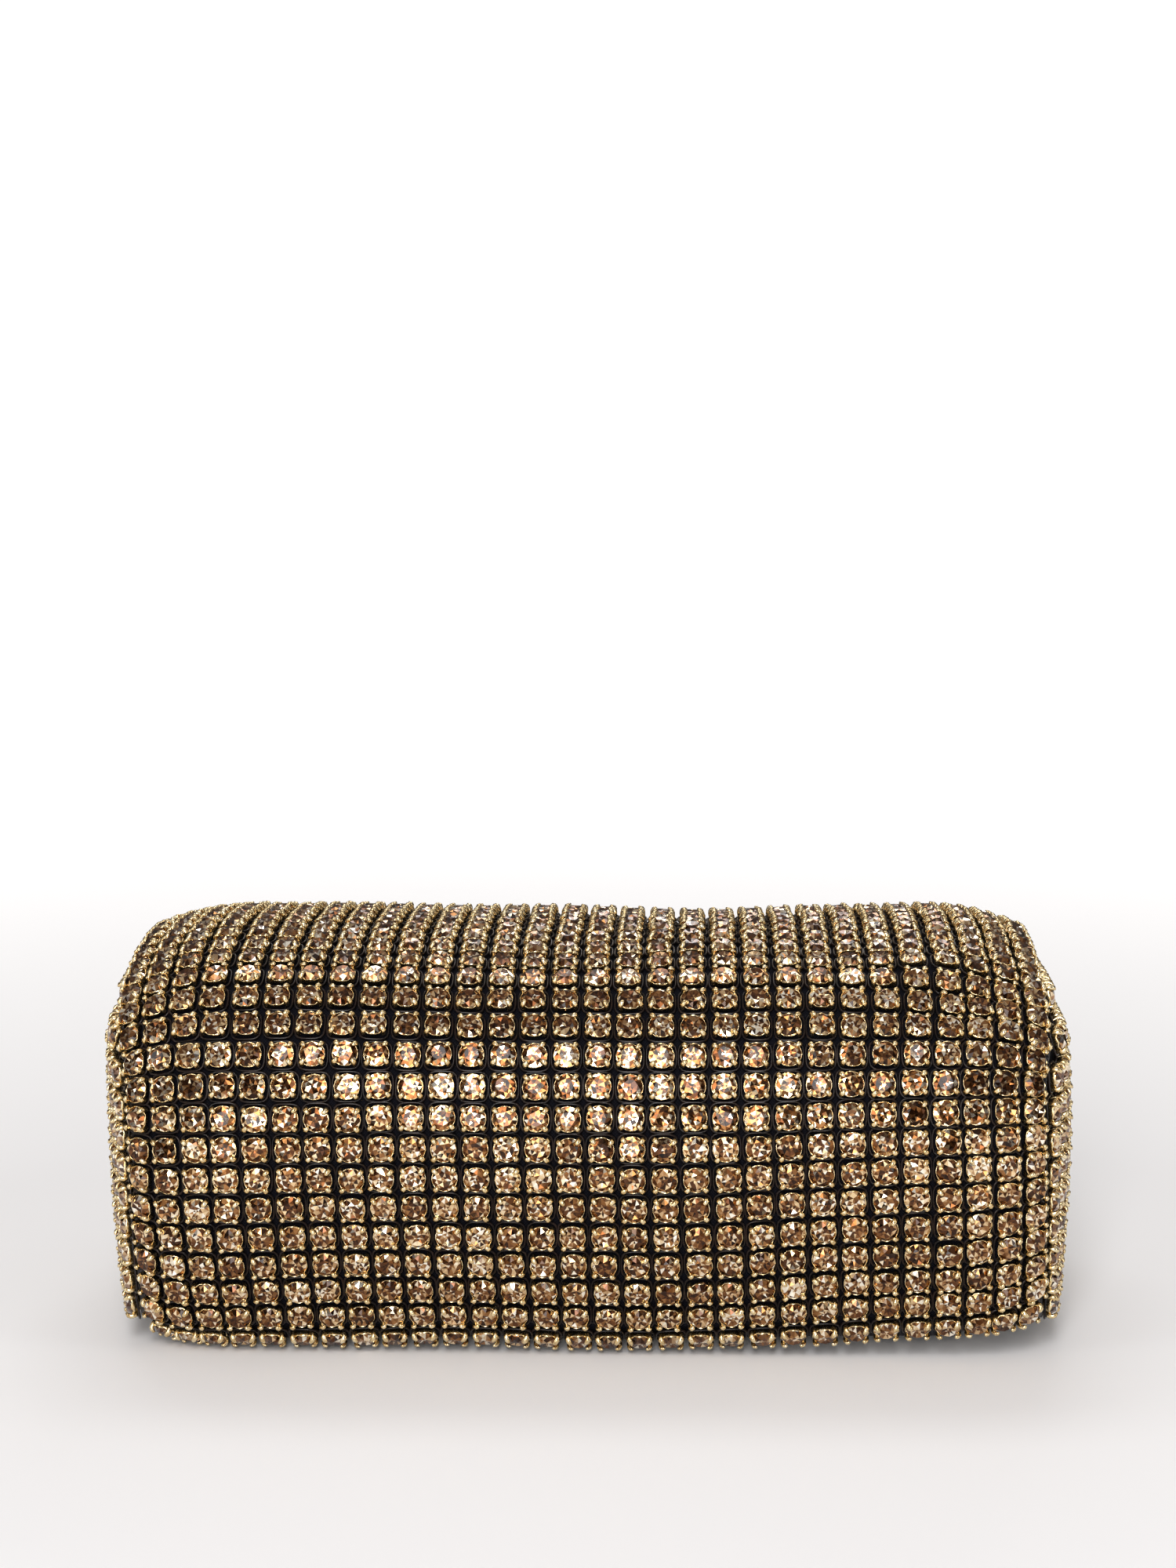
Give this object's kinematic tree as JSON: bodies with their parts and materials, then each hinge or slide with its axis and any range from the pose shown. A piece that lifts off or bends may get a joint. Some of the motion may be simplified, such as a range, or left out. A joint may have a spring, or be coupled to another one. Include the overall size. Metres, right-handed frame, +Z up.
{
  "type": "evening bag",
  "caption": "Boxy evening bag covered in golden rhinestone mesh on a black net, with a hinged full-front flap that folds at its top-front edge and closes with hidden magnetic snaps.",
  "frame": {"origin": "centre of the bag's bounding box on the surface it stands on", "axes": "+X to the bag's right as seen from the front, along its width; the flap's front faces -Y; +Z up"},
  "size_m": [0.192, 0.0922, 0.0808],
  "materials": {
    "topaz_stone": "faceted, mirror backed",
    "gold_cup": "polished gold plate",
    "black_mesh": "glossy black ring mesh on cloth",
    "satin_lining": "black satin",
    "black_trim": "black grosgrain",
    "board": "grey fibreboard",
    "snap_metal": "satin nickel"
  },
  "bodies": {
    "root": {"base_pad": "black_trim", "base_board": "board", "base_lining": "satin_lining", "bottom_edge_board": "board", "bottom_edge_mesh": "black_mesh", "bottom_edge_cups": "gold_cup", "bottom_edge_stones": "topaz_stone", "front_wall_board": "board", "front_wall_cover": "satin_lining", "front_wall_lining": "satin_lining", "mouth_binding": "black_trim", "left_snap_socket": "snap_metal", "right_snap_socket": "snap_metal", "back_board": "board", "back_mesh": "black_mesh", "back_lining": "satin_lining", "back_cups": "gold_cup", "back_stones": "topaz_stone", "slip_pocket": "satin_lining", "left_gusset_board": "board", "left_gusset_mesh": "black_mesh", "left_gusset_lining": "satin_lining", "left_gusset_rim": "black_trim", "left_gusset_cups": "gold_cup", "left_gusset_stones": "topaz_stone", "right_gusset_board": "board", "right_gusset_mesh": "black_mesh", "right_gusset_lining": "satin_lining", "right_gusset_rim": "black_trim", "right_gusset_cups": "gold_cup", "right_gusset_stones": "topaz_stone", "hinge_band": "black_mesh"},
    "flap_top": {"flap_top_board": "board", "flap_top_mesh": "black_mesh", "flap_top_lining": "satin_lining", "flap_top_cups": "gold_cup", "flap_top_stones": "topaz_stone"},
    "flap_front": {"flap_front_board": "board", "flap_front_mesh": "black_mesh", "flap_front_lining": "satin_lining", "flap_front_cups": "gold_cup", "flap_front_stones": "topaz_stone", "flap_hem": "black_trim", "left_snap_stud": "snap_metal", "right_snap_stud": "snap_metal"}
  },
  "joints": [
    {"name": "flap_hinge", "type": "hinge", "parent": "root", "child": "flap_top", "pos_m": [0, 0.0396, 0.0732], "axis": [-1, 0, 0], "range_deg": [0, 110]},
    {"name": "flap_fold", "type": "hinge", "parent": "flap_top", "child": "flap_front", "pos_m": [0, -0.02803, 0.07249], "axis": [-1, 0, 0], "range_deg": [0, 50]}
  ]
}
